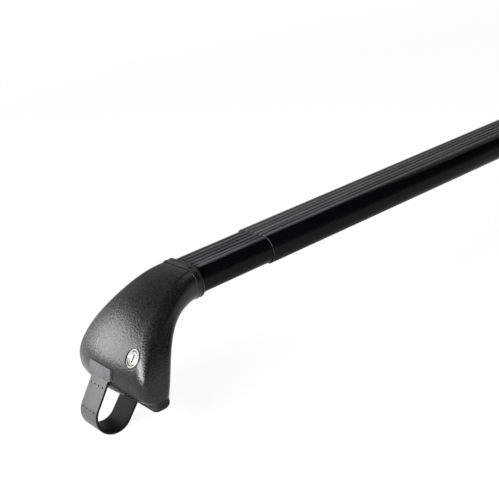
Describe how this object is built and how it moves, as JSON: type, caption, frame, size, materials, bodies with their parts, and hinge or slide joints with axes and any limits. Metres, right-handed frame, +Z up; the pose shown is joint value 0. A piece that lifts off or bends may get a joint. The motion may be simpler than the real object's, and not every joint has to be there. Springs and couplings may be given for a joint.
{
  "type": "roof rack crossbar",
  "caption": "Telescopic flat-oval roof rack crossbar with a ribbed deck and lockable strap-down feet for raised roof rails.",
  "frame": {"origin": "centre of the underside: midway between the two feet, at the height of the lowest points of the strap loops", "axes": "+X along the bar, +Z up out of the load deck"},
  "size_m": [1.1202, 0.106, 0.1057],
  "materials": {
    "tube_black": "gloss",
    "textured_cover": "fine textured",
    "black_plastic": "satin",
    "black_rubber": "matte",
    "strap_rubber": "matte",
    "steel_core": "dull",
    "plated_steel": "zinc plated",
    "zinc": "satin"
  },
  "bodies": {
    "bar": {"outer_tube": "tube_black", "left_stop_pin": "plated_steel", "right_stop_pin": "plated_steel"},
    "left_foot": {"left_inner_tube": "tube_black", "left_glide_plug": "black_plastic", "left_collar": "black_plastic", "left_foot_cover": "textured_cover", "left_foot_core": "steel_core", "left_spigot_screws": "plated_steel", "left_rail_pad": "black_rubber", "left_pad_screws": "plated_steel", "left_strap": "strap_rubber", "left_strap_grip": "strap_rubber", "left_screw_washer": "plated_steel", "left_lock_sleeve": "zinc", "left_lock_nut": "plated_steel"},
    "left_lock": {"left_lock_barrel": "zinc", "left_lock_cam": "plated_steel", "left_cam_screw": "plated_steel"},
    "left_screw": {"left_tension_screw": "plated_steel"},
    "left_puller": {"left_strap_puller": "steel_core"},
    "right_foot": {"right_inner_tube": "tube_black", "right_glide_plug": "black_plastic", "right_collar": "black_plastic", "right_foot_cover": "textured_cover", "right_foot_core": "steel_core", "right_spigot_screws": "plated_steel", "right_rail_pad": "black_rubber", "right_pad_screws": "plated_steel", "right_strap": "strap_rubber", "right_strap_grip": "strap_rubber", "right_screw_washer": "plated_steel", "right_lock_sleeve": "zinc", "right_lock_nut": "plated_steel"},
    "right_lock": {"right_lock_barrel": "zinc", "right_lock_cam": "plated_steel", "right_cam_screw": "plated_steel"},
    "right_screw": {"right_tension_screw": "plated_steel"},
    "right_puller": {"right_strap_puller": "steel_core"}
  },
  "joints": [
    {"name": "left_slide", "type": "slide", "parent": "bar", "child": "left_foot", "axis": [-1, 0, 0], "range_m": [-0.05, 0.1]},
    {"name": "left_lock_turn", "type": "hinge", "parent": "left_foot", "child": "left_lock", "pos_m": [-0.52859, -0.0345, 0.06471], "axis": [-0.7645, 0, 0.6447], "range_deg": [0, 90]},
    {"name": "left_screw_turn", "type": "hinge", "parent": "left_foot", "child": "left_screw", "pos_m": [-0.5255, 0, 0.04553], "axis": [0, 0, 1], "range_deg": [0, 2160]},
    {"name": "left_puller_slide", "type": "slide", "parent": "left_foot", "child": "left_puller", "axis": [0, 0, 1], "range_m": [0, 0.006]},
    {"name": "right_slide", "type": "slide", "parent": "bar", "child": "right_foot", "axis": [1, 0, 0], "range_m": [-0.05, 0.1]},
    {"name": "right_lock_turn", "type": "hinge", "parent": "right_foot", "child": "right_lock", "pos_m": [0.52859, 0.0345, 0.06471], "axis": [0.7645, 0, 0.6447], "range_deg": [0, 90]},
    {"name": "right_screw_turn", "type": "hinge", "parent": "right_foot", "child": "right_screw", "pos_m": [0.5255, 0, 0.04553], "axis": [0, 0, 1], "range_deg": [0, 2160]},
    {"name": "right_puller_slide", "type": "slide", "parent": "right_foot", "child": "right_puller", "axis": [0, 0, 1], "range_m": [0, 0.006]}
  ],
  "couplings": [
    {"joint": "left_screw_turn", "follows": "left_puller_slide", "rad_per_m": 6283.2},
    {"joint": "right_screw_turn", "follows": "right_puller_slide", "rad_per_m": 6283.2}
  ]
}
